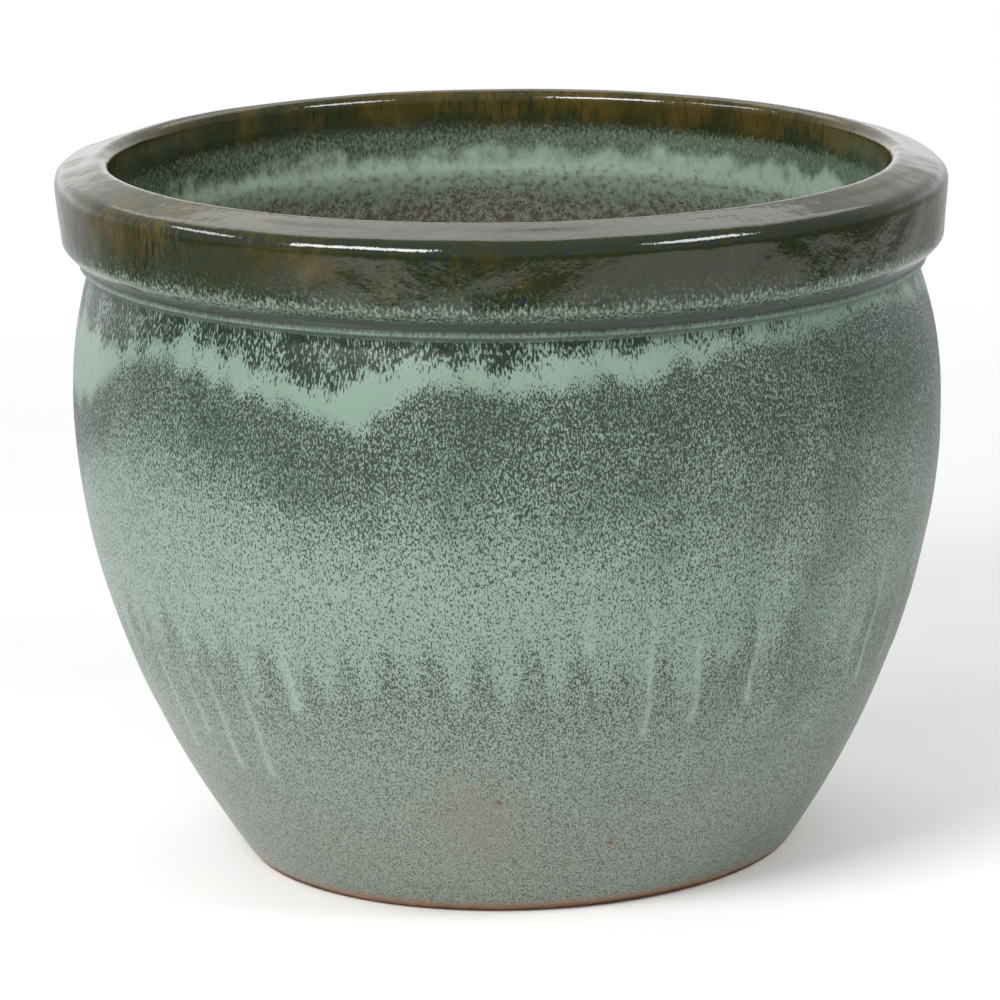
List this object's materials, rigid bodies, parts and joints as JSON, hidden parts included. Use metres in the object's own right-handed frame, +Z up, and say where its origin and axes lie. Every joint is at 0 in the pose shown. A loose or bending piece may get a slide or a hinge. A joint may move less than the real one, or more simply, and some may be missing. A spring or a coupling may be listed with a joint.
{
  "type": "planter pot",
  "caption": "Round-bellied glazed planter pot with a thick band collar at the mouth, a narrow foot and a drain hole in its floor.",
  "frame": {"origin": "centre of the underside, on the surface the pot stands on", "axes": "+Z up along the pot's axis, through the drain hole; the pot is round, so X and Y are free"},
  "size_m": [0.399, 0.399, 0.316],
  "materials": {
    "fired_clay": "bare fired brown clay, matt",
    "celadon_glaze": "satin celadon glaze with fine dark flecks, a pale band and runs",
    "olive_glaze": "glossy olive-brown glaze that breaks to celadon at the lower edge",
    "inner_glaze": "celadon glaze thinning to mottled brown towards the floor"
  },
  "bodies": {
    "root": {"base_slab": "fired_clay", "lower_wall": "fired_clay", "upper_wall": "fired_clay", "neck_cordon": "fired_clay", "rim_collar": "fired_clay", "body_glaze": "celadon_glaze", "collar_glaze": "olive_glaze", "inner_glaze": "inner_glaze"}
  },
  "joints": []
}
